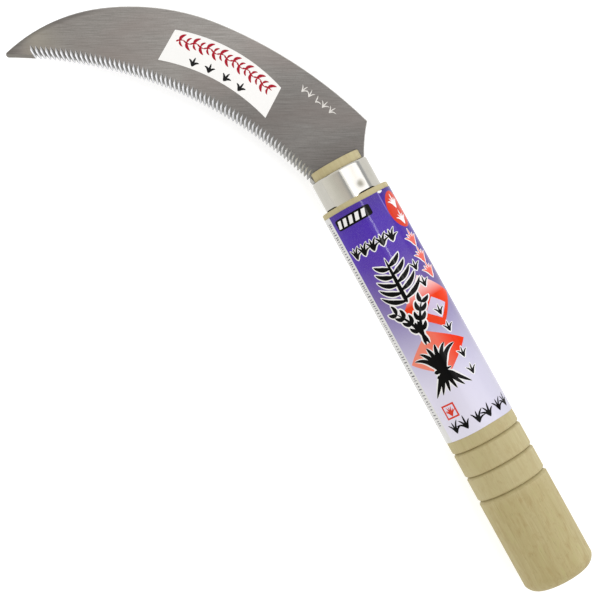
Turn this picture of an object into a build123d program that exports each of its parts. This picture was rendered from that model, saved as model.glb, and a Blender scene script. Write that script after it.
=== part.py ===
from build123d import *
import math
import os

# Saw-toothed hand sickle for cutting rope, with a turned wooden handle.
# The handle lies along +X, and the centre of its butt face is the origin.
# The blade lies flat in the XY plane and curves away towards +Y. The ground side of its teeth faces up (+Z).
# All sizes are in millimetres and all angles in degrees.

# Handle: one turned piece, with three grooves near the butt and a slotted tenon for the tang
butt_radius = 15.4
ring_radius = 15.15
shoulder_radius = 14.9
shoulder_x = 177.1
shoulder_round = 0.6
butt_round_length = 4.2
butt_round_depth = 4.3
butt_round_bulge = 0.36         # where the butt's rounding passes, as a share of its length and depth
groove_count = 3
first_groove_x = 43.7
groove_pitch = 10.9
groove_depth = 1.2
groove_slope_length = 1.15      # straight wall on the butt side
groove_round_length = 1.0       # rounded wall on the blade side
groove_round_bulge = 0.3
neck_radius = 10.9
handle_end_x = 194.1
handle_end_chamfer = 0.25
slot_end_x = 121.0

# Ferrule: drawn sheet tube, its top edge turned in over the tenon
ferrule_radius = 12.5
ferrule_sheet = 0.5
ferrule_lip_bend = 1.2
ferrule_top_x = 190.3
dimple_x = 180.9
dimple_angle = -21.4            # round the handle from +Z, positive towards +Y
dimple_depth = 0.4
dimple_ball_radius = 3.8

# Blade: flat stainless sheet
blade_thickness = 1.4
edge_center = (141.9, 182.0)    # centre of the concave toothed edge
edge_radius = 176.6
edge_tip_angle = -28.2
back_crown = (300.4, 79.4)
back_upper = (295.6, 53.3)
back_lower = (266.4, 13.6)
heel_corner = (202.3, -20.2)
neck_curve = (196.4, -15.7)
neck_outer = (190.3, -12.1)
tip_round = 1.2
heel_round = 0.8
back_chamfer = 0.3
edge_bevel_width = 1.3
edge_bevel_drop = 0.5
bevel_lead_angle = 3.0          # how far the bevel runs past the tip
tang_top_width = 21.6
tang_end_width = 15.0
tang_end_x = 123.0
tang_end_round = 2.0

# Teeth: one slanting V groove between each pair, ground from the upper face down through the edge.
# Towards the tip the grooves are a little further apart and longer, and slant a little more.
tooth_groove_count = 66
first_tooth_angle = -33.1
last_tooth_angle = -73.4
tooth_pitch_change = 0.05       # how much the pitch gains at the tip and loses at the neck
first_tooth_slant = 36.0
last_tooth_slant = 28.0
tooth_tipside_slope = 30.0      # the groove's wide wall
tooth_neckside_slope = 50.0     # its steep wall
tooth_groove_length = 6.5
tooth_groove_tilt = 3.6         # how much more steeply the last groove rises than the first
tooth_groove_drop = 0.55        # how far below the lower face the groove's floor passes the edge
tooth_groove_overlap = 0.06
tooth_cutter_height = 2.4
tooth_cutter_lead = 1.2         # how far the cutter starts outside the edge
tooth_cutter_tail = 1.0         # how far it runs on past the groove's upper end

# Pin through the handle and the tang, under the label
pin_radius = 1.5
pin_x = 152.0
pin_half_length = 14.75
pin_chamfer = 0.3

# Printed film round the handle, and printed sticker on the blade
label_start_x = 71.0
label_end_x = 174.9
label_film = 0.15
sticker_film = 0.12
sticker_outer_far = (273.1, 30.8)
sticker_outer_middle = (257.6, 16.2)
sticker_outer_near = (231.3, 4.3)
sticker_inner_near = (223.6, 15.9)
sticker_inner_middle = (249.4, 27.8)
sticker_inner_far = (265.7, 42.9)

# Values worked out from the dimensions above
tenon_radius = ferrule_radius - ferrule_sheet
lip_center_x = ferrule_top_x - ferrule_lip_bend
lip_center_radius = ferrule_radius - ferrule_lip_bend
upper_face = blade_thickness / 2


def handle_surface(x):
    """Radius of the handle's long taper at x."""
    share = (x - first_groove_x) / (shoulder_x - first_groove_x)
    return ring_radius + share * (shoulder_radius - ring_radius)


# Handle
with BuildPart() as handle:
    with BuildSketch(Plane.XZ):
        with BuildLine():
            Line((0, 0), (0, butt_radius - butt_round_depth))
            ThreePointArc(
                (0, butt_radius - butt_round_depth),
                (butt_round_length * butt_round_bulge, butt_radius - butt_round_depth * butt_round_bulge),
                (butt_round_length, butt_radius),
            )
            Polyline(
                (butt_round_length, butt_radius),
                (first_groove_x, butt_radius),
                (first_groove_x, ring_radius),
                (shoulder_x, shoulder_radius),
                (shoulder_x, tenon_radius),
                (lip_center_x, tenon_radius),
            )
            lip_seat = CenterArc(
                (lip_center_x, lip_center_radius), ferrule_lip_bend - ferrule_sheet, 90, -90
            )
            Polyline(
                lip_seat @ 1,
                (lip_center_x + ferrule_lip_bend - ferrule_sheet, neck_radius),
                (handle_end_x - handle_end_chamfer, neck_radius),
                (handle_end_x, neck_radius - handle_end_chamfer),
                (handle_end_x, 0),
                (0, 0),
            )
        make_face()
    revolve(axis=Axis.X)

    # Turned grooves: a sharp floor, a straight slope towards the butt and a rounded wall towards the blade
    for index in range(groove_count):
        floor_x = first_groove_x + index * groove_pitch
        floor_radius = ring_radius - groove_depth
        with BuildSketch(Plane.XZ):
            with BuildLine():
                rounded_wall = ThreePointArc(
                    (floor_x, floor_radius),
                    (
                        floor_x + groove_round_length * groove_round_bulge,
                        ring_radius - groove_depth * groove_round_bulge,
                    ),
                    (floor_x + groove_round_length, ring_radius),
                )
                Polyline(
                    rounded_wall @ 1,
                    (floor_x + groove_round_length, ring_radius + groove_depth),
                    (floor_x - 2 * groove_slope_length, ring_radius + groove_depth),
                    rounded_wall @ 0,
                )
            make_face()
        revolve(axis=Axis.X, mode=Mode.SUBTRACT)

    # Soft corner where the handle meets the ferrule
    shoulder_edge = (
        handle.edges().filter_by(GeomType.CIRCLE).filter_by(lambda edge: edge.radius > tenon_radius)
    )
    fillet(shoulder_edge.sort_by(Axis.X)[-1], radius=shoulder_round)

    # Saw cut for the tang, and the hole for its pin
    with BuildSketch(Plane.YZ.offset(slot_end_x)):
        Rectangle(2 * butt_radius, blade_thickness)
    extrude(amount=handle_end_x - slot_end_x, mode=Mode.SUBTRACT)
    with Locations((pin_x, 0, butt_radius)):
        Hole(radius=pin_radius)

# Ferrule
with BuildPart() as ferrule:
    with BuildSketch(Plane.XZ):
        with BuildLine():
            outer_bend = CenterArc((lip_center_x, lip_center_radius), ferrule_lip_bend, 0, 90)
            inner_bend = CenterArc(
                (lip_center_x, lip_center_radius), ferrule_lip_bend - ferrule_sheet, 0, 90
            )
            Line(outer_bend @ 0, inner_bend @ 0)
            Polyline(
                outer_bend @ 1,
                (shoulder_x, ferrule_radius),
                (shoulder_x, tenon_radius),
                inner_bend @ 1,
            )
        make_face()
    revolve(axis=Axis.X)

    # Punched dimple that locks the ferrule to the tenon
    ball_distance = ferrule_radius - dimple_depth + dimple_ball_radius
    ball_y = ball_distance * math.sin(math.radians(dimple_angle))
    ball_z = ball_distance * math.cos(math.radians(dimple_angle))
    with Locations((dimple_x, ball_y, ball_z)):
        Sphere(dimple_ball_radius, mode=Mode.SUBTRACT)

# One tooth groove's cutter, placed on the toothed edge at the origin. It cuts along +X, into the blade,
# and its wide wall is on the +Y side, towards the blade's tip.
groove_fall = upper_face + blade_thickness / 2 + tooth_groove_drop
groove_direction = Vector(tooth_groove_length, 0, groove_fall).normalized()
cutter_start = Vector(0, 0, upper_face - groove_fall) - groove_direction * tooth_cutter_lead
mean_slant = math.radians((first_tooth_slant + last_tooth_slant) / 2)
tooth_pitch = edge_radius * math.radians(first_tooth_angle - last_tooth_angle) / (tooth_groove_count - 1)
tipside_rise = math.tan(math.radians(tooth_tipside_slope))
neckside_rise = math.tan(math.radians(tooth_neckside_slope))
groove_width = tooth_pitch * math.cos(mean_slant) + 2 * tooth_groove_overlap
flank_height = groove_width / (1 / tipside_rise + 1 / neckside_rise)
tipside_width = flank_height / tipside_rise
neckside_width = flank_height / neckside_rise
with BuildPart() as tooth_cutter:
    with BuildSketch(Plane(origin=cutter_start, x_dir=(0, 1, 0), z_dir=groove_direction)):
        with BuildLine():
            Polyline(
                (0, 0),
                (tipside_width, flank_height),
                (tipside_width, tooth_cutter_height),
                (-neckside_width, tooth_cutter_height),
                (-neckside_width, flank_height),
                close=True,
            )
        make_face()
    extrude(amount=tooth_cutter_lead + math.hypot(tooth_groove_length, groove_fall) + tooth_cutter_tail)

# Blade
edge_neck_angle = -math.degrees(math.acos((ferrule_top_x - edge_center[0]) / edge_radius))
with BuildPart() as blade:
    with BuildSketch(Plane.XY.offset(-upper_face)):
        with BuildLine():
            toothed_edge = CenterArc(
                edge_center, edge_radius, edge_tip_angle, edge_neck_angle - edge_tip_angle
            )
            tip_back = ThreePointArc(toothed_edge @ 0, back_crown, back_upper)
            middle_back = TangentArc(back_upper, back_lower, tangent=tip_back % 1)
            heel_back = TangentArc(back_lower, heel_corner, tangent=middle_back % 1)
            ThreePointArc(heel_corner, neck_curve, neck_outer)
            Polyline(
                neck_outer,
                (ferrule_top_x, -tang_top_width / 2),
                (tang_end_x, -tang_end_width / 2),
                (tang_end_x, tang_end_width / 2),
                (ferrule_top_x, tang_top_width / 2),
                toothed_edge @ 1,
            )
        make_face()
    extrude(amount=blade_thickness)

    upright = blade.edges().filter_by(Axis.Z)
    fillet(upright.group_by(Axis.X)[0], radius=tang_end_round)
    upright = blade.edges().filter_by(Axis.Z)
    fillet(upright.sort_by(Axis.Y)[-1], radius=tip_round)
    upright = blade.edges().filter_by(Axis.Z)
    fillet(upright.sort_by(Axis.Y)[0], radius=heel_round)

    # Small chamfer along the back, round the heel and up to the neck
    top_edges = blade.faces().sort_by(Axis.Z)[-1].edges()
    back_edges = top_edges.filter_by(GeomType.CIRCLE).filter_by(
        lambda edge: edge.center().X > neck_curve[0] and abs(edge.radius - edge_radius) > tip_round
    )
    chamfer(back_edges, length=back_chamfer)

    # Narrow bevel along the concave edge, from the tip to the neck
    bevel_out = Vector(1, 0, 0).rotate(Axis.Z, edge_tip_angle + bevel_lead_angle)
    with BuildSketch(Plane(origin=edge_center, x_dir=bevel_out, z_dir=bevel_out.cross(Vector(0, 0, 1)))):
        with BuildLine():
            Polyline(
                (edge_radius - edge_bevel_width, upper_face - 2 * edge_bevel_drop),
                (edge_radius + edge_bevel_width, upper_face),
                (edge_radius + edge_bevel_width, upper_face + edge_bevel_drop),
                (edge_radius - edge_bevel_width, upper_face + edge_bevel_drop),
                close=True,
            )
        make_face()
    revolve(
        axis=Axis(edge_center, (0, 0, -1)),
        revolution_arc=edge_tip_angle + bevel_lead_angle - edge_neck_angle,
        mode=Mode.SUBTRACT,
    )

    # Teeth
    for index in range(tooth_groove_count):
        share = index / (tooth_groove_count - 1)
        spread = share + tooth_pitch_change * share * (1 - share)
        angle = first_tooth_angle + spread * (last_tooth_angle - first_tooth_angle)
        slant = first_tooth_slant + share * (last_tooth_slant - first_tooth_slant)
        on_edge = Vector(*edge_center) + Vector(edge_radius, 0).rotate(Axis.Z, angle)
        along_groove = Location(on_edge, (0, 0, angle + slant))
        with Locations(along_groove * Location((0, 0, 0), (0, -share * tooth_groove_tilt, 0))):
            add(tooth_cutter.part, mode=Mode.SUBTRACT)

    with Locations((pin_x, 0, upper_face)):
        Hole(radius=pin_radius)

# Tang pin
with BuildPart() as tang_pin:
    with BuildSketch(Plane.XY.offset(-pin_half_length)):
        with Locations((pin_x, 0)):
            Circle(pin_radius)
    extrude(amount=2 * pin_half_length)
    chamfer(tang_pin.edges().filter_by(GeomType.CIRCLE), length=pin_chamfer)

# Handle label
with BuildPart() as handle_label:
    with BuildSketch(Plane.XZ):
        with BuildLine():
            Polyline(
                (label_start_x, handle_surface(label_start_x)),
                (label_end_x, handle_surface(label_end_x)),
                (label_end_x, handle_surface(label_end_x) + label_film),
                (label_start_x, handle_surface(label_start_x) + label_film),
                close=True,
            )
        make_face()
    revolve(axis=Axis.X)

# Blade sticker
with BuildPart() as blade_sticker:
    with BuildSketch(Plane.XY.offset(upper_face)):
        with BuildLine():
            ThreePointArc(sticker_outer_far, sticker_outer_middle, sticker_outer_near)
            Line(sticker_outer_near, sticker_inner_near)
            ThreePointArc(sticker_inner_near, sticker_inner_middle, sticker_inner_far)
            Line(sticker_inner_far, sticker_outer_far)
        make_face()
    extrude(amount=sticker_film)

handle.part.label = "handle"
ferrule.part.label = "ferrule"
blade.part.label = "blade"
tang_pin.part.label = "tang_pin"
handle_label.part.label = "handle_label"
blade_sticker.part.label = "blade_sticker"

os.makedirs("parts", exist_ok=True)
export_step(handle.part, "parts/handle.step")
export_step(ferrule.part, "parts/ferrule.step")
export_step(blade.part, "parts/blade.step")
export_step(tang_pin.part, "parts/tang_pin.step")
export_step(handle_label.part, "parts/handle_label.step")
export_step(blade_sticker.part, "parts/blade_sticker.step")
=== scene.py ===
import math
import random

import bpy
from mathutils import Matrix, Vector


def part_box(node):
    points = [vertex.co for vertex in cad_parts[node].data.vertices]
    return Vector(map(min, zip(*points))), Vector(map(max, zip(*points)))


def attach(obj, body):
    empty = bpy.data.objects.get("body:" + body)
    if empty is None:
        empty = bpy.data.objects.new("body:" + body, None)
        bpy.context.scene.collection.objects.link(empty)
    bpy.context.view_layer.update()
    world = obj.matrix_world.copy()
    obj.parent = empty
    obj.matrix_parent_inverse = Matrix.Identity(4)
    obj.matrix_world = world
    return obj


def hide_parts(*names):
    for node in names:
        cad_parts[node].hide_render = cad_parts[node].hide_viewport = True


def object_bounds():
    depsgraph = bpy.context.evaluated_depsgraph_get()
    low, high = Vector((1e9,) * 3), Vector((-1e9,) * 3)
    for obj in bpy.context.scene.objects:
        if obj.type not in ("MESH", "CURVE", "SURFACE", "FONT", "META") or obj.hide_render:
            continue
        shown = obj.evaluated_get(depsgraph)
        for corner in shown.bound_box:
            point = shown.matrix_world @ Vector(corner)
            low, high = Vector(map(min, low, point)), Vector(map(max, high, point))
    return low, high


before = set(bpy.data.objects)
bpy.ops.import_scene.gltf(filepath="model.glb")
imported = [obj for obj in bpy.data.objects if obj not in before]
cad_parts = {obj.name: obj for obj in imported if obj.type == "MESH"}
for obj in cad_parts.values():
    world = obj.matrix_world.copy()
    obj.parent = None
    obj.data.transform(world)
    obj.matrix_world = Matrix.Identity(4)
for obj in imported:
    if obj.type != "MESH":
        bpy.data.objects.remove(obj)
cad_low, cad_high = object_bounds()

# Looks of the saw-toothed hand sickle: materials for the turned handle and the steel parts, the printed
# film round the handle, the printed sticker and the etched mark on the blade, the floor, light and camera.
# Everything is in metres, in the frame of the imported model. Angles are in degrees unless they say otherwise.
# A pair of numbers marked as a fade holds the two places between which one look gives way to another.

MM = 0.001

label_low, label_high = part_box("handle_label")
ferrule_low, ferrule_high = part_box("ferrule")
blade_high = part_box("blade")[1]
sticker_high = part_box("blade_sticker")[1]

# Camera, straight above the sickle
CAMERA_SPOT = (0.1520, 0.03965, 0.66)
CAMERA_TURN = -118.87
CAMERA_HALF_WIDTH = 0.1226          # half of what it takes in, level with the handle's axis
CAMERA_CLIP = (0.01, 50.0)
SENSOR_WIDTH = 36.0                 # in millimetres

# Floor and lamps
FLOOR_HALF = 8.0
LAMP_DISTANCE = 1.1
LAMP_X = 0.170                      # the middle of the lamps along X
SIDE_LAMP_X = 0.150
SIDE_BLEND = (-0.35, 0.35)          # fade between the world's two sides, as the sine of the turn round +Z

# Meshes
SHARP_ANGLE = 40.0                  # edges with more bend than this are shaded as corners
PRINT_PITCH = 0.36 * MM             # longest step of a printed mark's mesh, so that it follows the round film
PRINT_LEVELS = 12                   # an ink's marks are lifted by turns, so that crossing ones don't touch
PRINT_LEVEL_STEP = 0.0006 * MM

# Handle's zones along X
GRIP_END = 38 * MM                  # the ringed part begins here
RING_FADE = (GRIP_END, 46 * MM)
GROOVES_END = 68 * MM
GROOVE_DARK_FADE = (13.95 * MM, 14.85 * MM)   # fade of the darker floors in the grooves, as a distance from the axis
SHOULDER_FADE = (174 * MM, 176 * MM)
GAP_SHADE = (176.6 * MM, 179 * MM)      # painted shade in the corner between the shoulder and the tenon
GAP_SHADE_RADIUS = 12.5 * MM

# Blade's brushed face
BRUSH_ANGLE = CAMERA_TURN           # the direction of its brushed lines
BLADE_TIP = (298.1 * MM, 96.0 * MM, 0.0)
TIP_SHADE_FADE = (6 * MM, 13 * MM)  # distances from the tip
TIP_HIGHLIGHT_RISE = (11 * MM, 17 * MM)
TIP_HIGHLIGHT_FALL = (17 * MM, 30 * MM)
BACK_CENTRE = (227.6 * MM, 79.5 * MM, 0.0)   # the arc of the back near the tip
BACK_RADIUS = 72.8 * MM
BACK_FADE = (-0.6 * MM, 1.2 * MM)   # distances in from that arc
BACK_START = (50 * MM, 62 * MM)     # along Y
HEEL_SHADE = 0.40
HEEL_FADE = (222 * MM, 262 * MM)    # along X, like the next two
NECK_FADE = (196 * MM, 208 * MM)
TENON_FADE = (194.6 * MM, 196.2 * MM)
TENON_SIDE = (-13 * MM, -10 * MM)   # along Y, where the shade by the tenon ends

# Toothed edge: the arc it follows, and the grooves ground across it
EDGE_CENTRE = (141.9 * MM, 182.0 * MM)
EDGE_RADIUS = 176.6 * MM
FIRST_TOOTH_ANGLE = -32.7
GROOVE_SLANT_RATE = 235.0           # degrees round that arc which a groove gains per metre of depth
GROOVE_FLOOR = -1.25 * MM           # height of a groove's floor where it passes the edge
GROOVE_RISE = 0.39                  # how much the floor rises per length inwards
GROOVE_CREST = (0.28 * MM, 0.50 * MM)    # fade up a wall, from the groove's floor
EDGE_FADE = (1.1 * MM, 2.3 * MM)    # fade inwards from the edge
TIPWARD_WALLS = (-46.0, -36.0)      # fades round the arc
TIPWARD_CHAMFER = (-44.0, -34.0)
CHAMFER_REACH = 184 * MM            # ground faces further than this from the arc's centre are the back's
GROUND_FADE = (0.95, 0.985)         # a face is ground where the upright part of its normal is smaller
STEEP_FADE = (0.655, 0.675)         # and it is a groove's steep wall where that is smaller than this

# Ferrule: drawn sheet, its top edge turned in
FERRULE_SHEET = 0.5 * MM
FERRULE_BEND = 1.2 * MM
FERRULE_WAVE = 0.006 * MM           # unevenness of its wall
DIMPLE_X = 180.9 * MM
DIMPLE_ANGLE = 21.4                 # round the handle from +Z, positive towards -Y
DIMPLE_RADIUS = 2.7 * MM
DIMPLE_DEPTH = 0.50 * MM
DIMPLE_SHADE_FADE = (0.8 * MM, 2.8 * MM)
FOOT_GAP = 0.66 * MM
FOOT_GAPS = ((-62.0, 22.0), (27.5, 21.0))   # the middle and the half width of each gap under its foot

# Sticker's outer edge: an arc, from its far corner towards the heel
STICKER_CENTRE = (213.59 * MM, 78.45 * MM)
STICKER_RADIUS = 76.23 * MM
STICKER_START = -38.7

# Row of etched marks
MARK_START = (227.0 * MM, -3.9 * MM)
MARK_ANGLE = 203.5                  # the row's direction, from the middle of the blade towards its heel

# Printed film. Its angles are round the handle from +Z, positive towards -Y
TAPER = 0.0015                      # how much the handle's radius falls per length towards the blade
FILM = 0.12 * MM
FILM_INSET = 0.18 * MM              # how far its ends stand in from the film's box, before they wave
FILM_SHINE = 0.26
MATT_INK_SHINE = 0.12
BLACK_INK_SHINE = 0.10
FIELD_FROM = -60.5                  # where the coloured field begins and ends
FIELD_TO = 124.0
FIELD_SHADE_FADE = (math.radians(12.0), math.radians(60.0))
SEAM_ANGLE = 168.0
SEAM_FLAP = 16.0
SEAM_STEP = 0.09 * MM
CREASE_ANGLE = 34.9
CREASE_WIDTH = 1.7
CREASE_START = label_high.x - 12 * MM
CREASE_RISE = 5 * MM                # length over which the crease comes up
UPPER_LOZENGE_FADE = (127.5 * MM, 135.2 * MM)   # along X
LOWER_LOZENGE_FADE = (5 * MM, -7 * MM)          # along Y


# ---- node trees
class Tree:
    """A short way to write a node tree."""

    def __init__(self, tree):
        self.tree = tree
        self.tree.nodes.clear()

    def node(self, kind, inputs=(), **settings):
        made = self.tree.nodes.new("ShaderNode" + kind)
        for key, value in settings.items():
            setattr(made, key, value)
        for key, value in dict(inputs).items():
            if isinstance(value, bpy.types.NodeSocket):
                self.tree.links.new(value, made.inputs[key])
            else:
                made.inputs[key].default_value = value
        return made

    def place(self):
        """The point in the row frame, in metres."""
        return self.node("TexCoord").outputs["Object"]

    def split(self, vector):
        return self.node("SeparateXYZ", {0: vector}).outputs

    def join(self, x, y, z):
        return self.node("CombineXYZ", {0: x, 1: y, 2: z}).outputs[0]

    def stretched(self, vector, scale):
        return self.node("Mapping", {"Vector": vector, "Scale": scale}).outputs[0]

    def turned(self, vector, angle):
        """The same place seen in a frame whose X axis lies at that angle in the XY plane."""
        return self.node("Mapping", {"Vector": vector, "Rotation": (0, 0, math.radians(-angle))}).outputs[0]

    def noise(self, vector, scale=1.0, detail=2.0, roughness=0.5, distortion=0.0):
        settings = {
            "Vector": vector,
            "Scale": scale,
            "Detail": detail,
            "Roughness": roughness,
            "Distortion": distortion,
        }
        return self.node("TexNoise", settings).outputs[0]

    def math(self, kind, a, b=0.0, c=0.0):
        return self.node("Math", {0: a, 1: b, 2: c}, operation=kind).outputs[0]

    def between(self, value, low, high, out_low=0.0, out_high=1.0, smooth=False):
        settings = {"Value": value, "From Min": low, "From Max": high, "To Min": out_low, "To Max": out_high}
        shape = "SMOOTHSTEP" if smooth else "LINEAR"
        return self.node("MapRange", settings, interpolation_type=shape, clamp=True).outputs[0]

    def inside(self, value, low, high):
        """1 between two limits, and 0 outside them."""
        above = self.math("GREATER_THAN", value, low)
        return self.math("MULTIPLY", above, self.math("LESS_THAN", value, high))

    def hypotenuse(self, a, b):
        return self.math("SQRT", self.math("MULTIPLY_ADD", a, a, self.math("MULTIPLY", b, b)))

    def distance(self, vector, spot):
        return self.node("VectorMath", {0: vector, 1: spot}, operation="DISTANCE").outputs["Value"]

    def round_angle(self, vector):
        """The angle round the handle's axis from +Z, positive towards -Y, in radians."""
        _, y, z = self.split(vector)
        return self.math("ARCTAN2", self.math("MULTIPLY", y, -1.0), z)

    def mix(self, share, first, second):
        made = self.node("Mix", data_type="RGBA", blend_type="MIX", clamp_factor=True)
        for socket, value in ((made.inputs[0], share), (made.inputs[6], first), (made.inputs[7], second)):
            if isinstance(value, bpy.types.NodeSocket):
                self.tree.links.new(value, socket)
            elif socket == made.inputs[0]:
                socket.default_value = value
            else:
                socket.default_value = (*value, 1.0)
        return made.outputs[2]

    def layers(self, base, rows):
        """Lays tones over a base. A row holds a field, two limits, the tone's share at each, and the tone."""
        for field, low, high, share_low, share_high, tone in rows:
            base = self.mix(self.between(field, low, high, share_low, share_high), base, tone)
        return base

    def ramp(self, value, stops):
        """A run of colours: stops are (place, colour) pairs, with the two ends first."""
        made = self.node("ValToRGB", {"Fac": value})
        band = made.color_ramp
        band.interpolation = "LINEAR"
        for index, (place, tone) in enumerate(stops):
            stop = band.elements[index] if index < 2 else band.elements.new(place)
            stop.position = place
            stop.color = (*tone, 1.0)
        return made.outputs[0]

    def bump(self, height, distance, strength=1.0):
        return self.node("Bump", {"Height": height, "Distance": distance, "Strength": strength}).outputs[0]

    def finish(self, **inputs):
        shader = self.node("BsdfPrincipled", {key.replace("_", " "): value for key, value in inputs.items()})
        output = self.node("OutputMaterial")
        self.tree.links.new(shader.outputs[0], output.inputs[0])


def material(name):
    made = bpy.data.materials.new(name)
    made.use_nodes = True
    return made, Tree(made.node_tree)


def colour(red, green, blue):
    """A colour given in sRGB, 0 to 255, as the linear values that sockets take."""
    return tuple(
        (c / 255 / 12.92) if c / 255 <= 0.04045 else ((c / 255 + 0.055) / 1.055) ** 2.4
        for c in (red, green, blue)
    )


# ---- materials
def wood():
    """Pale, turned hardwood: faint growth bands, fine lengthwise fibres, short pores and some mottling."""
    made, tree = material("handle_wood")
    place = tree.place()
    x, y, z = tree.split(place)
    fibre = tree.noise(tree.stretched(place, (70, 2400, 2400)), detail=3, roughness=0.6)
    streak = tree.noise(tree.stretched(place, (30, 380, 380)), detail=3, roughness=0.6, distortion=0.6)
    mottle = tree.noise(tree.stretched(place, (150, 330, 330)), detail=5, roughness=0.75, distortion=0.8)
    cloud = tree.noise(tree.stretched(place, (22, 90, 90)), detail=2)
    pore = tree.noise(tree.stretched(place, (330, 3000, 3000)), detail=2)
    wander = tree.noise(tree.stretched(place, (12, 60, 60)), detail=2)
    band = tree.math("MULTIPLY_ADD", z, 170.0, tree.math("MULTIPLY", wander, 9.0))
    band = tree.math("MULTIPLY_ADD", y, 300.0, band)
    band = tree.math("POWER", tree.math("FRACT", band), 3.0)
    base = tree.layers(
        tree.mix(tree.between(cloud, 0.3, 0.7), colour(181, 168, 122), colour(185, 173, 130)),
        (
            (mottle, 0.30, 0.46, 0.55, 0.00, colour(179, 174, 117)),
            (mottle, 0.50, 0.70, 0.00, 0.70, colour(167, 146, 98)),
            (streak, 0.50, 0.75, 0.00, 0.45, colour(163, 145, 96)),
            (band, 0.00, 1.00, 0.00, 0.14, colour(154, 133, 88)),
            (fibre, 0.56, 0.80, 0.00, 0.45, colour(150, 133, 90)),
            (fibre, 0.22, 0.42, 0.45, 0.00, colour(203, 193, 152)),
            (pore, 0.66, 0.74, 0.00, 0.45, colour(124, 103, 66)),
        ),
    )

    # The ringed part and the blade's end are sanded paler, and the grooves' floors are darker
    ringed = tree.between(x, *RING_FADE, smooth=True)
    base = tree.mix(tree.math("MULTIPLY", ringed, 0.24), base, colour(206, 198, 161))
    base = tree.mix(tree.between(x, *SHOULDER_FADE, 0.0, 0.12), base, colour(215, 207, 177))
    radius = tree.hypotenuse(y, z)
    groove_darkening = tree.between(radius, *GROOVE_DARK_FADE, 0.34, 0.0)
    groove_darkening = tree.math("MULTIPLY", groove_darkening, tree.inside(x, GRIP_END, GROOVES_END))
    base = tree.mix(groove_darkening, base, colour(116, 97, 54))
    # Painted shade in the corner between the shoulder and the tenon, seen through the gaps under the ferrule's
    # foot
    gap_shade = tree.math("MULTIPLY", tree.inside(x, *GAP_SHADE), tree.math("LESS_THAN", radius, GAP_SHADE_RADIUS))
    base = tree.mix(gap_shade, base, colour(30, 22, 14))
    height = tree.math("MULTIPLY_ADD", pore, -0.5, tree.math("MULTIPLY", fibre, 0.5))
    tree.finish(
        Base_Color=base,
        Roughness=tree.between(fibre, 0.3, 0.7, 0.52, 0.68),
        Specular_IOR_Level=0.3,
        Normal=tree.bump(height, 0.06 * MM, 0.6),
    )
    return made


def ground_steel(tree, place, upright):
    """The tone of the ground faces: the grooves' walls, the bevel past the last tooth, the back's chamfer.
    Of each groove's two walls the gentle one has a painted highlight and the steep one painted shade, and both
    are alike close to the edge; the chamfer has a painted highlight towards the heel and painted shade towards
    the tip."""
    x, y, z = tree.split(place)
    east = tree.math("SUBTRACT", x, EDGE_CENTRE[0])
    north = tree.math("SUBTRACT", y, EDGE_CENTRE[1])
    edge_angle = tree.math("MULTIPLY", tree.math("ARCTAN2", north, east), math.degrees(1.0))
    reach = tree.hypotenuse(east, north)
    from_edge = tree.math("SUBTRACT", reach, EDGE_RADIUS)
    near_edge = tree.between(from_edge, *EDGE_FADE, 1.0, 0.0)
    tipward = tree.between(edge_angle, *TIPWARD_WALLS)
    # Painted shade for the steep walls: darker towards the tip, paler close to the edge
    shaded_wall = tree.mix(tipward, colour(156, 156, 156), colour(138, 137, 136))
    shaded_wall = tree.mix(tree.math("MULTIPLY", near_edge, 0.75), shaded_wall, colour(196, 197, 198))
    above_floor = tree.math("SUBTRACT", z, tree.math("MULTIPLY_ADD", from_edge, GROOVE_RISE, GROOVE_FLOOR))
    # Painted highlight for the gentle walls: brighter up from the groove's floor, evened out close to the edge
    crest = tree.between(above_floor, *GROOVE_CREST)
    highlit_wall = tree.mix(crest, colour(172, 172, 172), colour(226, 227, 229))
    highlit_wall = tree.mix(near_edge, highlit_wall, colour(205, 206, 208))
    wall = tree.mix(tree.between(upright, *STEEP_FADE, 1.0, 0.0), highlit_wall, shaded_wall)
    along_grooves = tree.math("MULTIPLY_ADD", from_edge, -GROOVE_SLANT_RATE, edge_angle)
    past_teeth = tree.math("GREATER_THAN", along_grooves, FIRST_TOOTH_ANGLE)
    wall = tree.mix(past_teeth, wall, colour(140, 137, 134))
    # The back's chamfer: painted highlight towards the heel, painted shade towards the tip
    chamfer = tree.mix(tree.between(edge_angle, *TIPWARD_CHAMFER), colour(236, 235, 233), colour(96, 93, 90))
    return tree.mix(tree.math("GREATER_THAN", reach, CHAMFER_REACH), wall, chamfer)


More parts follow.
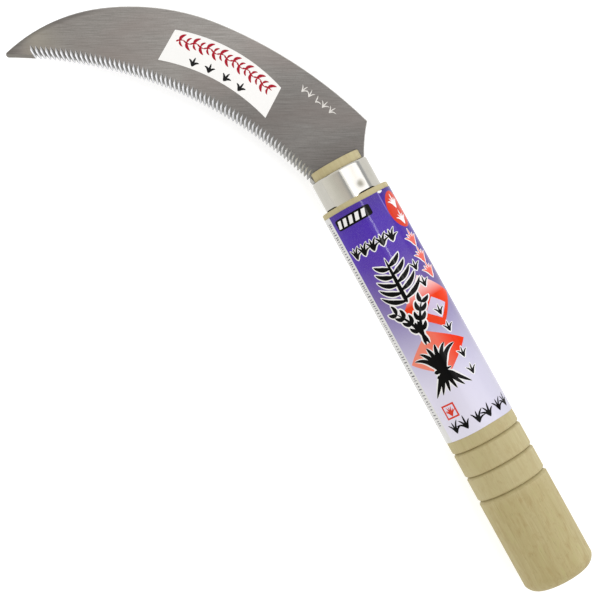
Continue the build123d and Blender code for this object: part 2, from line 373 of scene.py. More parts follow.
def blade_steel():
    """Brushed stainless sheet, with painted shade towards the heel, at the tip, along the back, near the neck
    and beside the tenon, and a painted highlight near its tip.
    """
    made, tree = material("blade_steel")
    place = tree.place()
    x, y, _ = tree.split(place)
    along_lines = tree.turned(place, BRUSH_ANGLE)
    lines = tree.noise(tree.stretched(along_lines, (110, 3800, 1200)), detail=3, roughness=0.7)
    broad = tree.noise(tree.stretched(along_lines, (26, 900, 100)), detail=3, roughness=0.6)
    grain = tree.noise(place, 1700.0, 2, 0.7)
    patch = tree.noise(tree.stretched(along_lines, (30, 60, 30)), detail=3)
    tone = tree.layers(
        tree.mix(tree.between(broad, 0.3, 0.7), colour(146, 143, 140), colour(153, 149, 146)),
        (
            (lines, 0.50, 0.72, 0.00, 0.70, colour(118, 115, 112)),
            (lines, 0.28, 0.48, 0.60, 0.00, colour(176, 173, 170)),
            (grain, 0.50, 0.72, 0.00, 0.40, colour(126, 122, 116)),
            (patch, 0.45, 0.70, 0.00, 0.50, colour(144, 134, 130)),
        ),
    )
    from_tip = tree.math("MULTIPLY_ADD", patch, 10 * MM, tree.distance(place, BLADE_TIP))
    # Painted highlight: a pale patch some way in from the tip
    tip_highlight = tree.between(from_tip, *TIP_HIGHLIGHT_FALL, 0.40, 0.0)
    tip_highlight = tree.math("MULTIPLY", tip_highlight, tree.between(from_tip, *TIP_HIGHLIGHT_RISE))
    tone = tree.mix(tip_highlight, tone, colour(184, 178, 162))

    # Painted shade along the back near the tip
    from_back = tree.math("MULTIPLY_ADD", patch, 2.4 * MM, tree.distance(place, BACK_CENTRE))
    from_back = tree.math("SUBTRACT", BACK_RADIUS, from_back)
    back_shade = tree.between(from_back, *BACK_FADE, 0.30, 0.0, smooth=True)
    back_shade = tree.math("MULTIPLY", back_shade, tree.between(y, *BACK_START))
    # Painted shadow that the tenon's end casts on the blade beside it
    tenon_shadow = tree.between(x, *TENON_FADE, 0.66, 0.0, smooth=True)
    tenon_shadow = tree.math("MULTIPLY", tenon_shadow, tree.between(y, *TENON_SIDE))
    # Painted shade: darker towards the heel, close to the tip, along the back, near the neck and in the
    # tenon's shadow
    shade = tree.between(x, *HEEL_FADE, HEEL_SHADE, 0.0, smooth=True)
    shade = tree.math("MAXIMUM", shade, tree.between(from_tip, *TIP_SHADE_FADE, 0.34, 0.0))
    shade = tree.math("MAXIMUM", shade, back_shade)
    shade = tree.math("ADD", shade, tree.between(x, *NECK_FADE, 0.14, 0.0))
    shade = tree.math("MAXIMUM", shade, tenon_shadow)
    tone = tree.mix(shade, tone, (0.0, 0.0, 0.0))

    upright = tree.math("ABSOLUTE", tree.split(tree.node("NewGeometry").outputs["Normal"])[2])
    ground = tree.between(upright, *GROUND_FADE, 1.0, 0.0)
    tone = tree.mix(ground, tone, ground_steel(tree, place, upright))
    rough = tree.between(lines, 0.3, 0.7, 0.30, 0.38)
    height = tree.math("MULTIPLY_ADD", broad, 0.4, lines)
    across_lines = math.radians(BRUSH_ANGLE + 90)
    tree.finish(
        Base_Color=tone,
        Metallic=tree.between(ground, 0.0, 1.0, 1.0, 0.5),
        Roughness=tree.math("MULTIPLY", rough, tree.between(ground, 0.0, 1.0, 1.0, 0.6)),
        Anisotropic=0.7,
        Tangent=tree.join(math.cos(across_lines), math.sin(across_lines), 0.0),
        Normal=tree.bump(height, 0.010 * MM, 0.5),
    )
    return made


def plated(name, tone, rough_low, rough_high, punch=None):
    """Bright plated sheet with faint drawing lines and smudges, and a painted dark reflection round the dimple
    where it was punched.
    """
    made, tree = material(name)
    place = tree.place()
    smudge = tree.noise(place, 170.0, 4, 0.6)
    drawn = tree.noise(tree.stretched(place, (90, 2400, 2400)), detail=2)
    ring = tree.noise(tree.stretched(place, (1400, 40, 40)), detail=2)
    base = tree.mix(tree.between(smudge, 0.35, 0.7, 0.0, 0.5), tone, tuple(0.88 * c for c in tone))
    rough = tree.between(smudge, 0.35, 0.75, rough_low, rough_high)
    rough = tree.math("MULTIPLY_ADD", tree.between(drawn, 0.35, 0.8), 0.05, rough)
    if punch:
        # Painted dark reflection round the dimple
        away = tree.math("MULTIPLY_ADD", smudge, 0.6 * MM, tree.distance(place, punch))
        dimple_shade = tree.between(away, *DIMPLE_SHADE_FADE, 0.74, 0.0, smooth=True)
        base = tree.mix(dimple_shade, base, colour(112, 108, 92))
    height = tree.math("MULTIPLY", tree.math("ADD", drawn, ring), 0.08)
    height = tree.math("MULTIPLY_ADD", smudge, 2.0, height)
    tree.finish(Base_Color=base, Metallic=1.0, Roughness=rough, Normal=tree.bump(height, 0.05 * MM, 0.35))
    return made


def film_crease(tree, place):
    """One sharp crease in the film near the blade's end: 1 on its ridge, 0 away from it."""
    x = tree.split(place)[0]
    away = tree.math("SUBTRACT", tree.round_angle(place), math.radians(CREASE_ANGLE))
    away = tree.math("ABSOLUTE", away)
    ridge = tree.between(away, 0.0, math.radians(CREASE_WIDTH), 1.0, 0.0, smooth=True)
    return tree.math("MULTIPLY", ridge, tree.between(x, CREASE_START, CREASE_START + CREASE_RISE))


def film_finish(tree, place, base, shine):
    """The glossy clear face that the printed film has over every ink, with its slow ripple and its crease."""
    grain = tree.noise(place, 2600.0, 2)
    ripple = tree.noise(tree.stretched(place, (40, 110, 110)), detail=2)
    height = tree.math("MULTIPLY_ADD", film_crease(tree, place), 0.35, ripple)
    tree.finish(
        Base_Color=base,
        Roughness=tree.between(grain, 0.3, 0.7, 0.07, 0.11),
        Specular_IOR_Level=shine,
        Normal=tree.bump(height, 0.20 * MM, 0.5),
    )


def label_film():
    """White film with a field that runs from violet at the blade's end to pale lavender at the butt's."""
    made, tree = material("label_film")
    place = tree.place()
    round_angle = tree.round_angle(place)
    along = tree.between(tree.split(place)[0], label_high.x, label_low.x)
    field = tree.ramp(
        along,
        (
            (0.0, colour(68, 40, 150)),
            (1.0, colour(226, 224, 242)),
            (0.10, colour(74, 38, 174)),
            (0.24, colour(82, 47, 172)),
            (0.38, colour(116, 96, 166)),
            (0.50, colour(150, 140, 190)),
            (0.64, colour(195, 190, 221)),
            (0.78, colour(220, 217, 239)),
        ),
    )
    speck = tree.noise(place, 5200.0, 1)
    field = tree.mix(tree.between(speck, 0.5, 0.8, 0.0, 0.12), field, colour(235, 228, 240))
    # Painted highlight along the crease: the field is lighter on its ridge
    field = tree.mix(tree.math("MULTIPLY", film_crease(tree, place), 0.75), field, colour(150, 132, 222))
    # Painted shade: the field darkens from 12 to 60 degrees round the handle towards -Y
    field = tree.mix(tree.between(round_angle, *FIELD_SHADE_FADE, 0.0, 0.21), field, colour(30, 28, 34))
    cloud = tree.noise(place, 60.0, 2)
    white = tree.mix(tree.between(cloud, 0.3, 0.7), colour(223, 223, 224), colour(215, 216, 218))
    coloured = tree.inside(round_angle, math.radians(FIELD_FROM), math.radians(FIELD_TO))
    film_finish(tree, place, tree.mix(coloured, white, field), FILM_SHINE)
    return made


def ink(name, tone, shine=FILM_SHINE, second=None, axis=0, fade=(0.0, 1.0)):
    """One printed colour under the film's gloss, or a fade from one colour to a second along one axis."""
    made, tree = material(name)
    place = tree.place()
    speck = tree.noise(place, 4200.0, 2)
    base = tree.mix(tree.between(speck, 0.35, 0.8, 0.0, 0.2), tone, tuple(0.75 * c + 0.01 for c in tone))
    if second:
        base = tree.mix(tree.between(tree.split(place)[axis], *fade), base, second)
    film_finish(tree, place, base, shine)
    return made


def sticker_paper():
    """White glossy paper with a faint painted glow that lifts its white, and a slight wave."""
    made, tree = material("sticker_film")
    place = tree.place()
    cloud = tree.noise(place, 90.0, 3)
    base = tree.mix(tree.between(cloud, 0.3, 0.7), (0.97, 0.97, 0.975), (0.94, 0.945, 0.95))
    wave = tree.noise(place, 120.0, 2)
    tree.finish(
        Base_Color=base,
        Roughness=tree.between(cloud, 0.3, 0.7, 0.28, 0.36),
        Specular_IOR_Level=0.4,
        Normal=tree.bump(wave, 0.12 * MM, 0.4),
        # Painted light: a faint glow that brightens the paper
        Emission_Color=(1.0, 1.0, 1.0, 1.0),
        Emission_Strength=0.02,
    )
    return made


def sticker_ink(name, tone):
    """One printed colour on the sticker's paper."""
    made, tree = material(name)
    speck = tree.noise(tree.place(), 5200.0, 2)
    base = tree.mix(tree.between(speck, 0.35, 0.8, 0.0, 0.3), tone, tuple(0.8 * c + 0.02 for c in tone))
    tree.finish(
        Base_Color=base,
        Roughness=tree.between(speck, 0.3, 0.7, 0.34, 0.42),
        Specular_IOR_Level=0.15,
        Normal=tree.bump(speck, 0.004 * MM, 0.4),
    )
    return made


def etched():
    """Steel frosted by etching: paler and duller than the brushed face."""
    made, tree = material("etched_mark")
    grain = tree.noise(tree.place(), 9000.0, 2)
    tone = tree.mix(tree.between(grain, 0.3, 0.7), colour(216, 213, 210), colour(236, 234, 232))
    tree.finish(Base_Color=tone, Metallic=0.1, Roughness=0.6, Normal=tree.bump(grain, 0.01 * MM, 0.6))
    return made


def pale_floor():
    """Matt white board, lit a little from behind as a product table is."""
    made, tree = material("pale_floor")
    grain = tree.noise(tree.place(), 900.0, 2)
    base = tree.mix(tree.between(grain, 0.3, 0.7), (0.66, 0.67, 0.70), (0.69, 0.70, 0.73))
    tree.finish(
        Base_Color=base,
        Roughness=0.9,
        Specular_IOR_Level=0.1,
        Emission_Color=(1.0, 1.0, 1.0, 1.0),
        Emission_Strength=0.605,
    )
    return made


# ---- printing on a face
def mesh_object(name, points, faces, look):
    """An object with its mesh, smooth but for its sharp edges, and one material."""
    mesh = bpy.data.meshes.new(name)
    mesh.from_pydata([tuple(p) for p in points], [], faces)
    mesh.validate()
    mesh.update()
    for face in mesh.polygons:
        face.use_smooth = True
    mesh.set_sharp_from_angle(angle=math.radians(SHARP_ANGLE))
    mesh.materials.append(look)
    made = bpy.data.objects.new(name, mesh)
    bpy.context.scene.collection.objects.link(made)
    return made


def at(across, down):
    """A place on a printed face, or a step across it, given in millimetres."""
    return Vector((across, down)) * MM


class Print:
    """Marks of one ink on one face, each a thin closed slab that follows the face.
    place(across, down, height) gives the point on the face; a mark's grid holds (across, down) pairs."""

    def __init__(self, place, lift, thickness):
        self.place = place
        self.lift = lift
        self.thickness = thickness
        self.points = []
        self.faces = []
        self.count = 0

    def slab(self, grid):
        """Adds one mark: its upper face, its under face, and the rim between them."""
        rows, columns = len(grid), len(grid[0])
        top_height = self.lift + (self.count % PRINT_LEVELS) * PRINT_LEVEL_STEP
        self.count += 1
        start = len(self.points)
        for height in (top_height, top_height - self.thickness):
            self.points += [self.place(a, d, height) for row in grid for a, d in row]
        under = rows * columns
        for r in range(rows - 1):
            for c in range(columns - 1):
                a = start + r * columns + c
                b, far, near = a + 1, a + columns + 1, a + columns
                self.faces.append((a, b, far, near))
                self.faces.append((a + under, near + under, far + under, b + under))
        rim = [(0, c) for c in range(columns)] + [(r, columns - 1) for r in range(1, rows)]
        rim += [(rows - 1, c) for c in range(columns - 2, -1, -1)] + [(r, 0) for r in range(rows - 2, 0, -1)]
        ring = [start + r * columns + c for r, c in rim]
        for a, b in zip(ring, ring[1:] + ring[:1]):
            self.faces.append((b, a, a + under, b + under))

    def stroke(self, start, middle, end, width, blunt=0.25):
        """A brush stroke along a bent line, full near its blunt start and drawn out to a point at its end."""
        steps = max(8, round((end - start).length / PRINT_PITCH))
        across = max(2, round(width / PRINT_PITCH))
        grid = []
        for step in range(steps + 1):
            t = step / steps
            centre = (1 - t) ** 2 * start + 2 * t * (1 - t) * middle + t * t * end
            run = (1 - t) * (middle - start) + t * (end - middle)
            side = Vector((-run.y, run.x)).normalized()
            swell = min(1.0, (t / blunt + 0.12)) ** 0.6 * (1 - t ** 2.4) ** 0.7 + 0.05
            half = 0.5 * width * swell
            grid.append([centre + side * half * (2 * c / across - 1) for c in range(across + 1)])
        self.slab(grid)

    def bar(self, centre, width, length, slant=0.0):
        """A plain bar, width across and length down, slanted by that share."""
        steps = max(1, round(length / PRINT_PITCH))
        columns = max(1, round(width / PRINT_PITCH))
        grid = []
        for r in range(steps + 1):
            down = (r / steps - 0.5) * length
            row = [(c / columns - 0.5) * width - slant * down for c in range(columns + 1)]
            grid.append([centre + Vector((a, down)) for a in row])
        self.slab(grid)

    def lozenge(self, centre, half_width, half_length, power=1.0):
        """A closed shape: power 1 makes a diamond, 2 an ellipse, and 4 or more a rounded square."""
        steps = 2 * max(4, round(max(half_width, half_length) / PRINT_PITCH))
        grid = []
        for r in range(steps + 1):
            row = []
            for c in range(steps + 1):
                p, q = 2 * c / steps - 1, 2 * r / steps - 1
                reach = max(abs(p), abs(q))
                size = (abs(p) ** power + abs(q) ** power) ** (1 / power) or 1.0
                row.append(centre + Vector((p * half_width, q * half_length)) * (reach / size))
            grid.append(row)
        self.slab(grid)

    def make(self, name, look):
        """Turns the marks into one piece."""
        made = mesh_object(name, self.points, self.faces, look)
        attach(made, "root")


# ---- the label
def label_radius(x):
    """Outer radius of the film at x."""
    return label_high.z - TAPER * (x - label_low.x)


def on_label(across, down, height):
    """The point that far across from the front line, towards -Y, and that far down from the blade's end."""
    x = label_high.x - down
    radius = label_radius(x) + height
    turn = across / label_radius(x)
    return Vector((x, -radius * math.sin(turn), radius * math.cos(turn)))


def label_sleeve():
    """The film itself: a thin tube with slightly uneven ends and a glued overlap at the back."""
    around, rings = 360, 105
    length = label_high.x - label_low.x
    points = []
    for outer in (True, False):
        for ring in range(rings + 1):
            share = ring / rings
            for step in range(around):
                turn = 2 * math.pi * step / around
                wave = (0.10 * math.sin(2 * turn + 0.6) + 0.06 * math.sin(5 * turn)) * MM
                x = label_low.x + share * length + (FILM_INSET + wave) * (1 - 2 * share)
                radius = label_radius(x)
                past_flap = (math.degrees(turn) - (SEAM_ANGLE - SEAM_FLAP)) / SEAM_FLAP
                if not outer:
                    radius -= FILM
                elif 0 <= past_flap <= 1:
                    radius += SEAM_STEP * min(1.0, past_flap * 3)
                points.append((x, -radius * math.sin(turn), radius * math.cos(turn)))
    layer = (rings + 1) * around
    faces = []
    for ring in range(rings):
        for step in range(around):
            a, b = ring * around + step, ring * around + (step + 1) % around
            c, d = b + around, a + around
            faces.append((a, b, c, d))
            faces.append((a + layer, d + layer, c + layer, b + layer))
    for ring in (0, rings):
        for step in range(around):
            a, b = ring * around + step, ring * around + (step + 1) % around
            face = (a, a + layer, b + layer, b)
            faces.append(face if ring == 0 else face[::-1])
    sleeve = mesh_object("label_sleeve", points, faces, label_film())
    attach(sleeve, "root")
    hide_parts("handle_label")


def leaf_tuft(prints, foot, height, spread, leaves, width, lean=0.0):
    """A tuft of grass: leaves that rise from one foot and arch outwards."""
    for leaf in range(leaves):
        share = 2 * leaf / (leaves - 1) - 1
        angle = math.radians(lean + spread * share)
        length = height * (1.0 - 0.22 * abs(share)) * (1.0 if leaf % 2 == 0 else 0.86)
        tip = foot + length * Vector((math.sin(angle), -math.cos(angle)))
        middle = foot + 0.6 * length * Vector((math.sin(0.35 * angle), -math.cos(0.35 * angle)))
        for target, extra in prints:
            along = (tip - middle).normalized()
            grown = tip + along * extra
            target.stroke(foot - (middle - foot).normalized() * extra, middle, grown, width + 2 * extra)


def sprig(prints, foot, tip, pairs, reach, width):
    """A stem with pairs of pointed leaves, longest at the bottom, that lean out and curl up at their ends."""
    run = (tip - foot).normalized()
    side = Vector((-run.y, run.x))
    for target, extra in prints:
        start, end = foot - run * extra, tip + run * extra
        target.stroke(start, 0.5 * (foot + tip), end, 0.8 * width + 2 * extra, blunt=0.1)
    for index in range(pairs):
        share = (index + 0.35) / pairs
        root = foot + (tip - foot) * share * 0.92
        length = reach * (1.0 - 0.45 * share)
        for hand in (-1, 1):
            start = root + run * 0.25 * hand * width
            bend = start + length * (0.58 * hand * side + 0.08 * run)
            end = start + length * (0.92 * hand * side + 0.50 * run)
            for target, extra in prints:
                grown = end + (end - bend).normalized() * extra
                target.stroke(start, bend, grown, width + 2 * extra, blunt=0.45)


def grain_ear(prints, foot, tip, bow, grains, width):
    """A bowed stem with pairs of grains along its upper part."""
    middle = 0.5 * (foot + tip) + bow
    for target, extra in prints:
        target.stroke(foot, middle, tip, 0.7 * width + 2 * extra, blunt=0.1)
    for index in range(grains):
        t = 0.30 + 0.66 * index / (grains - 1)
        centre = (1 - t) ** 2 * foot + 2 * t * (1 - t) * middle + t * t * tip
        run = ((1 - t) * (middle - foot) + t * (tip - middle)).normalized()
        side = Vector((-run.y, run.x))
        for hand in (-1, 1):
            end = centre + (1.9 * run + 1.15 * hand * side) * width
            bulge = centre + (0.7 * run + 1.1 * hand * side) * width
            for target, extra in prints:
                away = (end - centre).normalized() * extra
                target.stroke(centre - away, bulge, end + away, width + 2 * extra, blunt=0.35)


def bound_sheaf(prints, foot, height, stalks, width):
    """Stalks drawn together by a band at their waist."""
    waist = foot + Vector((0, -0.42 * height))
    for stalk in range(stalks):
        share = 2 * stalk / (stalks - 1) - 1
        low = foot + Vector((0.42 * height * share, 0.02 * height * abs(share)))
        high = foot + Vector((0.48 * height * share, -height * (1 - 0.16 * share * share)))
        mid = waist + Vector((0.06 * height * share, 0))
        down = 0.5 * (mid + low) + Vector((-0.04 * height * share, 0))
        up = mid + Vector((0.08 * height * share, -0.4 * height))
        for target, extra in prints:
            target.stroke(mid, down, low, width + 2 * extra)
            target.stroke(mid, up, high, 1.15 * width + 2 * extra, blunt=0.4)
    for shift in (-0.5, 0.8):
        left = waist + Vector((-0.19 * height, shift * width))
        right = waist + Vector((0.19 * height, (shift + 0.3) * width))
        for target, extra in prints:
            target.stroke(left, 0.5 * (left + right), right, 0.9 * width + 2 * extra, blunt=0.1)


def label_print():
    """The printing on the film, from the lowest ink to the highest."""
    thick = 0.016 * MM
    upper_shapes = Print(on_label, 0.004 * MM, thick)
    lower_shapes = Print(on_label, 0.008 * MM, thick)
    hollow = Print(on_label, 0.012 * MM, thick)
    reds = Print(on_label, 0.010 * MM, thick)
    grey = Print(on_label, 0.006 * MM, thick)
    white = Print(on_label, 0.021 * MM, thick)
    black = Print(on_label, 0.033 * MM, thick)
    pink = Print(on_label, 0.033 * MM, thick)
    boxed = Print(on_label, 0.045 * MM, thick)

    # Inks that a motif is printed in, each with how far it reaches past the motif's own outline
    edged = ((white, 0.62 * MM), (black, 0.0))
    fine = ((white, 0.42 * MM), (black, 0.0))
    rose = ((white, 0.45 * MM), (pink, 0.0))
    plain_white = ((white, 0.0),)
    plain_black = ((black, 0.0),)
    plain_red = ((reds, 0.0),)

    # Two interlaced lozenges behind the large motifs
    upper_shapes.lozenge(at(6.5, 48.9), 12.9 * MM, 11.7 * MM)
    hollow.lozenge(at(7.6, 52.4), 5.3 * MM, 4.8 * MM)
    lower_shapes.lozenge(at(-1.2, 68.5), 13.7 * MM, 9.8 * MM)

    # Three large motifs: a leafy sprig, two ears of grain, and a bound sheaf
    sprig(edged, at(-2.2, 45.0), at(-1.9, 25.4), pairs=5, reach=10.6 * MM, width=2.05 * MM)
    for hand in (-1, 1):
        foot, tip = at(-3.0 - 0.8 * hand, 63.6), at(-3.0 + 6.2 * hand, 47.0)
        grain_ear(edged, foot, tip, at(-1.8 * hand, -2.6), grains=4, width=1.85 * MM)
    bound_sheaf(edged, at(-2.8, 84.6), height=19.8 * MM, stalks=6, width=1.75 * MM)

    # Box with a row of bars, and a row of small tufts under it
    black.lozenge(at(-5.4, 4.9), 8.5 * MM, 2.4 * MM, power=9.0)
    for index in range(5):
        boxed.bar(at(-12.0 + 2.9 * index, 4.9), 1.7 * MM, 3.2 * MM, slant=0.3)
    for index in range(5):
        leaf_tuft(fine, at(-12.4 + 4.3 * index, 20.7), 6.2 * MM, 40, 4, 1.05 * MM, lean=16)

    # Column of small tufts down the -Y side
    for down in (35.5, 43.0, 56.0, 63.5, 75.3, 82.9):
        leaf_tuft(fine, at(7.8, down), 5.2 * MM, 38, 3, 0.85 * MM, lean=8)

    # Red oval with two pale tufts, and a rose column under it
    reds.lozenge(at(15.6, 10.0), 6.1 * MM, 8.2 * MM, power=2.0)
    for down in (9.5, 16.8):
        leaf_tuft(plain_white, at(15.2, down), 6.4 * MM, 44, 5, 1.0 * MM)
    for down in (26.6, 34.4, 41.0):
        leaf_tuft(rose, at(14.2, down), 7.4 * MM, 42, 5, 1.05 * MM)

    # Seal: a red frame round a small tuft
    seal = at(-8.7, 91.8)
    for side in (-1, 1):
        reds.bar(seal + at(2.6 * side, 0), 0.7 * MM, 6.2 * MM)
        reds.bar(seal + at(0, 2.75 * side), 5.9 * MM, 0.7 * MM)
    leaf_tuft(plain_red, seal + at(0, 2.3), 4.8 * MM, 46, 7, 0.6 * MM)

    # Row of loose grass along the butt's end
    for index, lean in enumerate((10, -14, 20, -6, 14, -4)):
        leaf_tuft(plain_black, at(-10.6 + 5.3 * index, 101.2), 6.4 * MM, 44, 4, 0.9 * MM, lean=lean)

    # A torn nick in the film's end, and rows of plain dashes along the white margin and on the far side
    white.stroke(at(9.3, 0.5), at(10.5, 1.0), at(12.0, 0.5), 1.0 * MM)
    rng = random.Random(7)
    for angle in (-70.0, -88.0, -97.0, -106.0, 136.0, 145.0, 154.0):
        across = label_radius(label_low.x) * math.radians(angle)
        down = 2.0 * MM + 2.0 * rng.random() * MM
        while down < 96 * MM:
            length = rng.uniform(0.28, 0.55) * MM
            grey.bar(Vector((across, down)), rng.uniform(1.6, 3.2) * MM, length)
            down += length + rng.uniform(0.4, 1.1) * MM

    flame = ink(
        "ink_flame",
        colour(236, 62, 22),
        MATT_INK_SHINE,
        second=colour(247, 222, 222),
        axis=0,
        fade=UPPER_LOZENGE_FADE,
    )
    salmon = ink(
        "ink_salmon",
        colour(240, 138, 118),
        MATT_INK_SHINE,
        second=colour(238, 54, 16),
        axis=1,
        fade=LOWER_LOZENGE_FADE,
    )
    lavender = ink("ink_lavender", colour(206, 194, 222), MATT_INK_SHINE)
    upper_shapes.make("label_lozenge_upper", flame)
    lower_shapes.make("label_lozenge_lower", salmon)
    hollow.make("label_lozenge_hollow", lavender)
    reds.make("label_print_red", ink("ink_red", colour(216, 58, 34)))
    white.make("label_print_white", ink("ink_white", colour(244, 244, 246)))
    black.make("label_print_black", ink("ink_black", colour(4, 4, 5), BLACK_INK_SHINE))
    boxed.make("label_print_bars", ink("ink_white_bars", colour(244, 244, 246)))
    pink.make("label_print_rose", ink("ink_rose", colour(236, 104, 90)))
    grey.make("label_print_grey", ink("ink_grey", colour(88, 88, 96)))


# ---- the ferrule
def ferrule_shell():
    """The ferrule with its dimple, a slightly uneven wall, and a foot that stands off the wood twice."""
    around, rings, bends = 360, 60, 8
    foot, top, outer = ferrule_low.x, ferrule_high.x, ferrule_high.z
    straight_end = top - FERRULE_BEND
    bend_radius = outer - FERRULE_BEND
    inner_bend = FERRULE_BEND - FERRULE_SHEET

    def foot_at(turn):
        degrees = (math.degrees(turn) + 180) % 360 - 180
        lift = 0.0
        for middle, half in FOOT_GAPS:
            away = min(1.0, abs(degrees - middle) / half)
            lift = max(lift, 1.0 - away ** 6)
        return foot + FOOT_GAP * lift

    def wall(x, turn):
        """How far the outer face stands in from a true cylinder."""
        away = (turn - math.radians(DIMPLE_ANGLE) + math.pi) % (2 * math.pi) - math.pi
        distance = math.hypot(x - DIMPLE_X, outer * away) / DIMPLE_RADIUS
        pressed = DIMPLE_DEPTH * (1 - distance ** 2) ** 2 if distance < 1 else 0.0
        uneven = math.sin(3 * turn + 260 * x) + math.sin(5 * turn - 410 * x + 1.3)
        uneven += math.sin(2 * turn + 900 * x)
        return pressed + FERRULE_WAVE * (3 + uneven)

    # Profile: up the outer face, round the bent top edge, back round its inside and down the inner face
    loop = [("outer", ring / rings) for ring in range(rings + 1)]
    loop += [("outer_bend", 0.5 * math.pi * step / bends) for step in range(1, bends + 1)]
    loop += [("inner_bend", 0.5 * math.pi * step / bends) for step in range(bends, 0, -1)]
    loop += [("inner", ring / rings) for ring in range(rings, -1, -1)]
    points = []
    for kind, share in loop:
        for step in range(around):
            turn = 2 * math.pi * step / around
            start = foot_at(turn)
            x = start + share * (straight_end - start)
            if kind == "outer":
                radius = outer - wall(x, turn)
            elif kind == "inner":
                radius = outer - FERRULE_SHEET - 0.5 * wall(x, turn)
            else:
                bend = FERRULE_BEND if kind == "outer_bend" else inner_bend
                x = straight_end + bend * math.sin(share)
                radius = bend_radius + bend * math.cos(share)
                if kind == "outer_bend":
                    radius -= wall(straight_end, turn) * math.cos(share)
            points.append((x, -radius * math.sin(turn), radius * math.cos(turn)))
    faces = []
    for ring in range(len(loop)):
        here, after = ring * around, (ring + 1) % len(loop) * around
        for step in range(around):
            beside = (step + 1) % around
            faces.append((here + step, here + beside, after + beside, after + step))
    dimple_turn = math.radians(DIMPLE_ANGLE)
    punch = (DIMPLE_X, -outer * math.sin(dimple_turn), outer * math.cos(dimple_turn))
    look = plated("ferrule_metal", colour(214, 212, 206), 0.05, 0.12, punch)
    shell = mesh_object("ferrule_shell", points, faces, look)
    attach(shell, "root")
    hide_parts("ferrule")


# ---- the sticker
def on_sticker(across, down, height):
    """The point that far along the sticker's outer edge from its far corner, and that far in from it."""
    angle = math.radians(STICKER_START) - across / STICKER_RADIUS
    radius = STICKER_RADIUS - down
    x = STICKER_CENTRE[0] + radius * math.cos(angle)
    y = STICKER_CENTRE[1] + radius * math.sin(angle)
    return Vector((x, y, sticker_high.z + height))


def garland(prints, start, length, height, leaves, width):
    """A waving stem: at each crest a large leaf, by turns above and below it, and a small one opposite."""
    step = length / leaves
    for index in range(leaves):
        hand = 1 if index % 2 == 0 else -1
        low = start + Vector((step * index, 0.08 * height * hand))
        high = start + Vector((step * (index + 1), -0.08 * height * hand))
        crest = 0.5 * (low + high) + Vector((0, -0.12 * height * hand))
        for turn, reach in ((hand, 1.0), (-hand, 0.72)):
            root = 0.5 * (low + high) + Vector((0.12 * step * (1 - reach), 0.02 * height * turn))
            tip = root + Vector((0.75 * step, -0.52 * height * turn)) * reach
            bend = root + Vector((-0.10 * step, -0.34 * height * turn)) * reach
            for target, extra in prints:
                target.stroke(root, bend, tip, width * reach + 2 * extra, blunt=0.5)
        for target, extra in prints:
            target.stroke(low, crest, high + 0.3 * (high - crest), 0.45 * width + 2 * extra, blunt=0.1)


def sticker_print():
    """A crimson garland along the outer edge, and four small black trefoils under it."""
    thick = 0.02 * MM
    crimson = Print(on_sticker, 0.004 * MM, thick)
    black = Print(on_sticker, 0.004 * MM, thick)
    garland(((crimson, 0.0),), at(1.2, 4.1), 47.0 * MM, 6.0 * MM, leaves=15, width=1.45 * MM)
    for index, lean in enumerate((8, -6, 12, 0)):
        leaf_tuft(((black, 0.0),), at(11.2 + 8.63 * index, 13.0), 4.6 * MM, 50, 3, 1.15 * MM, lean=lean)
    crimson.make("sticker_print_crimson", sticker_ink("ink_crimson", colour(172, 6, 38)))
    black.make("sticker_print_black", sticker_ink("ink_sticker_black", colour(8, 8, 10)))


# ---- the etched mark
def on_blade(across, down, height):
    """The point in a frame that lies along the etched mark on the blade's upper face."""
    angle = math.radians(MARK_ANGLE)
    x = MARK_START[0] + across * math.cos(angle) + down * math.sin(angle)
    y = MARK_START[1] + across * math.sin(angle) - down * math.cos(angle)
    return Vector((x, y, blade_high.z + height))


def etched_mark():
    """Five small tufts etched in a row near the heel."""
    marks = Print(on_blade, 0.004 * MM, 0.012 * MM)
    for index, (leaves, lean) in enumerate(((3, 16), (3, -10), (2, 30), (3, 6), (3, 18))):
        leaf_tuft(((marks, 0.0),), at(0.4 + 3.55 * index, 2.0), 3.9 * MM, 44, leaves, 0.47 * MM, lean=lean)
    marks.make("blade_etched_mark", etched())


# ---- floor, light, camera
def softbox(name, near_angle, far_angle, x, width, radiance):
    """A rectangular lamp that faces the sickle from LAMP_DISTANCE, between two angles from straight up."""
    edges = []
    for angle in (near_angle, far_angle):
        turn = math.radians(angle)
        edges.append(LAMP_DISTANCE * Vector((0.0, -math.sin(turn), math.cos(turn))))
    centre = 0.5 * (edges[0] + edges[1])
    lamp = bpy.data.lights.new(name, "AREA")
    lamp.shape = "RECTANGLE"
    lamp.size = width
    lamp.size_y = (edges[0] - edges[1]).length
    lamp.energy = radiance * math.pi * lamp.size * lamp.size_y
    box = bpy.data.objects.new(name, lamp)
    box.location = centre + Vector((x, 0.0, 0.0))
    box.rotation_euler = centre.to_track_quat("Z", "Y").to_euler()
    bpy.context.scene.collection.objects.link(box)
    return box


def white_floor():
    """The floor that the sickle lies on. Glossy faces don't show it."""
    corners = [(-1, -1), (1, -1), (1, 1), (-1, 1)]
    points = [(FLOOR_HALF * x, FLOOR_HALF * y, cad_low.z) for x, y in corners]
    floor = mesh_object("floor", points, [(0, 1, 2, 3)], pale_floor())
    floor.visible_glossy = False


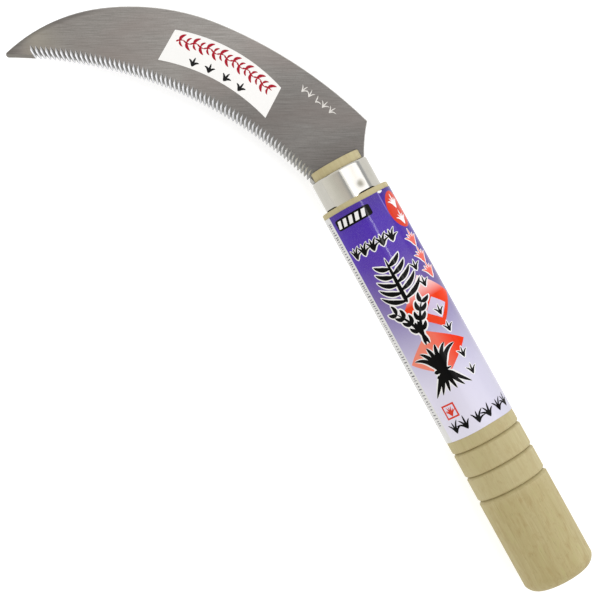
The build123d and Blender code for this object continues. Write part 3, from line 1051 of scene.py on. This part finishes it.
def studio_world():
    """A pale studio. Its walls run from the horizon to straight up, and its two sides differ: +Y is the side
    that the blade curves to."""
    world = bpy.data.worlds.new("studio")
    bpy.context.scene.world = world
    world.use_nodes = True
    tree = Tree(world.node_tree)
    x, y, z = tree.split(tree.node("TexCoord").outputs["Generated"])
    plus_y_wall = tree.ramp(
        z,
        (
            (0.0, (0.82, 0.81, 0.78)),
            (1.0, (0.48, 0.48, 0.47)),
            (0.10, (0.92, 0.90, 0.84)),
            (0.45, (0.86, 0.84, 0.77)),
            (0.70, (0.78, 0.76, 0.69)),
            (0.94, (0.70, 0.66, 0.60)),
            (0.975, (0.62, 0.59, 0.55)),
            (0.993, (0.48, 0.48, 0.47)),
        ),
    )
    minus_y_wall = tree.ramp(
        z,
        (
            (0.0, (0.62, 0.63, 0.64)),
            (1.0, (0.48, 0.48, 0.47)),
            (0.14, (0.50, 0.51, 0.52)),
            (0.27, (0.52, 0.53, 0.54)),
            (0.36, (1.12, 1.12, 1.14)),
            (0.54, (1.10, 1.09, 1.12)),
            (0.74, (0.98, 0.95, 0.93)),
            (0.90, (1.14, 1.13, 1.12)),
            (0.965, (1.15, 1.15, 1.14)),
            (0.990, (1.15, 1.15, 1.14)),
            (0.996, (0.95, 0.95, 0.94)),
            (0.9995, (0.48, 0.48, 0.47)),
        ),
    )
    level = tree.math("MAXIMUM", tree.hypotenuse(x, y), 0.001)
    side = tree.between(tree.math("DIVIDE", y, level), *SIDE_BLEND, 1.0, 0.0)
    tone = tree.mix(side, plus_y_wall, minus_y_wall)
    tone = tree.mix(tree.math("LESS_THAN", z, 0.0), tone, (0.90, 0.89, 0.85))
    background = tree.node("Background", {"Color": tone, "Strength": 1.0})
    output = tree.node("OutputWorld")
    tree.tree.links.new(background.outputs[0], output.inputs[0])


def lamps():
    """A long lamp above the sickle, brightest in its middle, a large panel that only shines in glossy faces,
    and a lamp at the handle's side that only lights matt faces."""
    softbox("lamp_core", 8.0, 13.0, LAMP_X, width=0.100, radiance=9.0)
    softbox("lamp_wings", 8.0, 13.0, LAMP_X, width=0.364, radiance=1.6)
    panel = softbox("softbox_panel", -2.5, 74.0, LAMP_X, width=1.4, radiance=0.52)
    panel.visible_diffuse = False
    side_fill = softbox("side_fill", 50.0, 85.0, SIDE_LAMP_X, width=1.0, radiance=0.95)
    side_fill.visible_glossy = False


def camera():
    """A camera straight above the sickle, and a plain rendering of its colours."""
    made = bpy.data.cameras.new("camera")
    made.sensor_width = SENSOR_WIDTH
    made.lens = 0.5 * SENSOR_WIDTH * (CAMERA_SPOT[2] / CAMERA_HALF_WIDTH)
    made.clip_start, made.clip_end = CAMERA_CLIP
    eye = bpy.data.objects.new("camera", made)
    eye.location = CAMERA_SPOT
    eye.rotation_euler = (0.0, 0.0, math.radians(CAMERA_TURN))
    bpy.context.scene.collection.objects.link(eye)
    bpy.context.scene.camera = eye
    bpy.context.scene.view_settings.view_transform = "Standard"
    bpy.context.scene.view_settings.look = "None"


def repaint(node, look):
    """Gives a CAD node a better material in the slot it has."""
    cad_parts[node].material_slots[0].material = look


repaint("handle", wood())
repaint("blade", blade_steel())
repaint("tang_pin", plated("pin_steel", colour(190, 186, 180), 0.25, 0.40))
repaint("blade_sticker", sticker_paper())
ferrule_shell()
label_sleeve()
label_print()
sticker_print()
etched_mark()
white_floor()
studio_world()
lamps()
camera()
